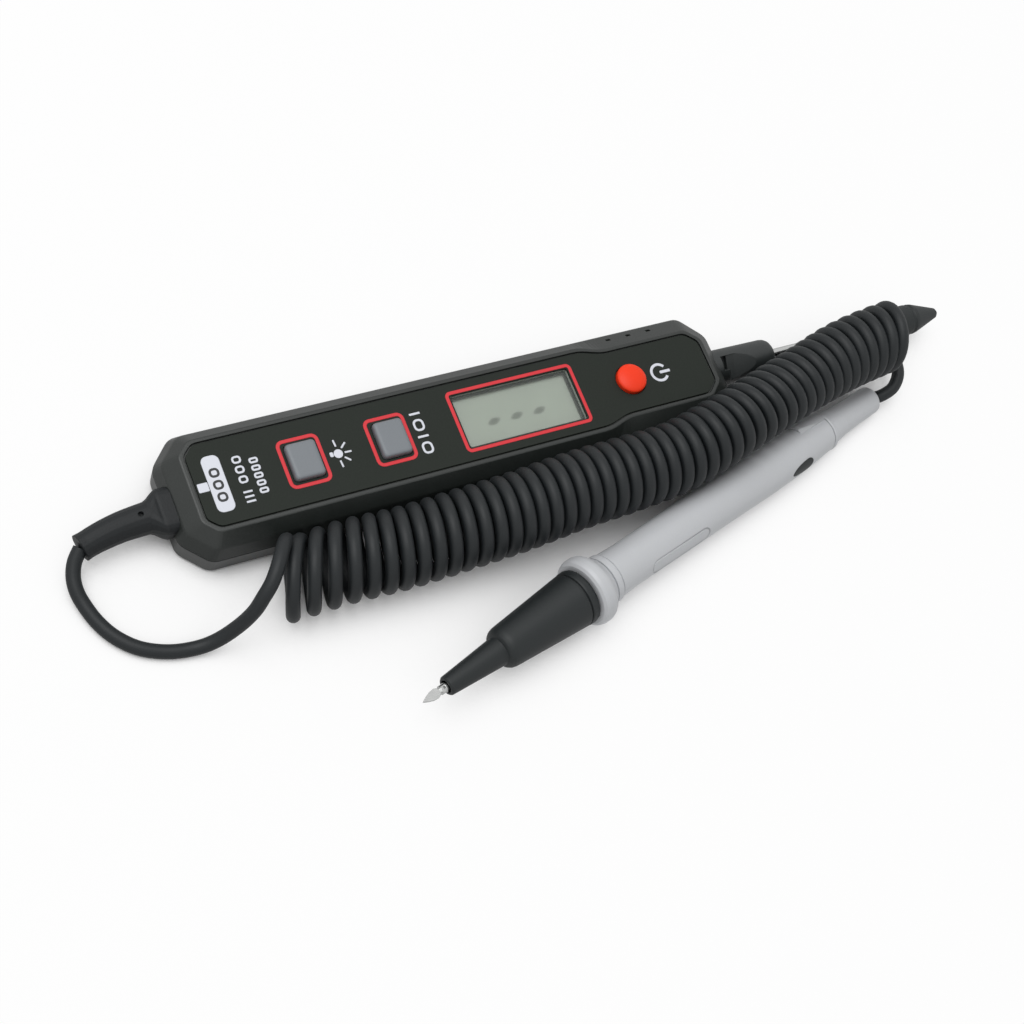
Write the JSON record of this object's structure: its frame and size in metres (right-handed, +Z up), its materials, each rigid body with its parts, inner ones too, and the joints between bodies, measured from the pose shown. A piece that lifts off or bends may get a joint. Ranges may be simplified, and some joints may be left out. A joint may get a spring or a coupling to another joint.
{
  "type": "automotive circuit tester",
  "caption": "Handheld automotive circuit tester: bevelled meter with display, buttons and capped test rod, a curly lead and a second probe with a slide-on guard.",
  "frame": {"origin": "centre of the meter's flat back, on the surface that it lies on", "axes": "+X along the meter towards its test rod, +Y across the meter away from the second probe, +Z up through the face"},
  "size_m": [0.2665, 0.0829, 0.0297],
  "materials": {
    "housing": "fine moulded grain, charcoal",
    "face": "fine grained overlay with white and red print",
    "window": "clear pane",
    "lcd": "grey-green display",
    "white_plastic": "moulded",
    "strip_rubber": "soft contact strip",
    "board": "solder mask over laminate",
    "switch_metal": "pressed",
    "orange_plastic": "satin, orange-red",
    "grey_plastic": "satin grey",
    "black_plastic": "fine moulded grain",
    "black_rubber": "satin",
    "cord_rubber": "satin jacket",
    "probe_plastic": "satin light grey",
    "contact_brass": "pressed",
    "steel": "plated",
    "rod_steel": "polished"
  },
  "bodies": {
    "root": {"top_cover": "housing", "bottom_cover": "housing", "face_panel": "face", "lcd_window": "window", "lcd_glass": "lcd", "backlight_panel": "white_plastic", "lcd_holder": "white_plastic", "contact_strips": "strip_rubber", "main_board": "board", "tact_switches": "switch_metal", "cell_holder": "black_plastic", "cell_contact": "contact_brass", "coin_cell": "steel", "battery_door": "housing", "door_screw": "steel", "case_screws": "steel", "nose_sleeve": "black_plastic", "test_rod": "rod_steel", "rod_terminal": "contact_brass", "lead_boot": "black_rubber", "inner_lead": "cord_rubber", "cord_lead": "cord_rubber", "cord_coil": "cord_rubber", "cord_tail": "cord_rubber", "probe_handle": "probe_plastic", "handle_inlay": "black_rubber", "probe_rear_sleeve": "probe_plastic", "probe_tip": "rod_steel"},
    "power_key": {"power_button": "orange_plastic", "power_plunger": "black_plastic"},
    "light_key": {"light_button": "grey_plastic", "light_plunger": "black_plastic"},
    "hold_key": {"hold_button": "grey_plastic", "hold_plunger": "black_plastic"},
    "cap": {"rod_cap": "black_rubber"},
    "guard": {"probe_guard": "black_rubber"}
  },
  "joints": [
    {"name": "power_press", "type": "slide", "parent": "root", "child": "power_key", "axis": [0, 0, -1], "range_m": [0, 0.0006], "stiffness_N_per_m": 600},
    {"name": "light_press", "type": "slide", "parent": "root", "child": "light_key", "axis": [0, 0, -1], "range_m": [0, 0.0006], "stiffness_N_per_m": 600},
    {"name": "hold_press", "type": "slide", "parent": "root", "child": "hold_key", "axis": [0, 0, -1], "range_m": [0, 0.0006], "stiffness_N_per_m": 600},
    {"name": "cap_pull", "type": "slide", "parent": "root", "child": "cap", "axis": [1, 0, 0], "range_m": [0, 0.024]},
    {"name": "guard_pull", "type": "slide", "parent": "root", "child": "guard", "axis": [-0.9616, -0.2703, 0.0477], "range_m": [0, 0.055]}
  ]
}
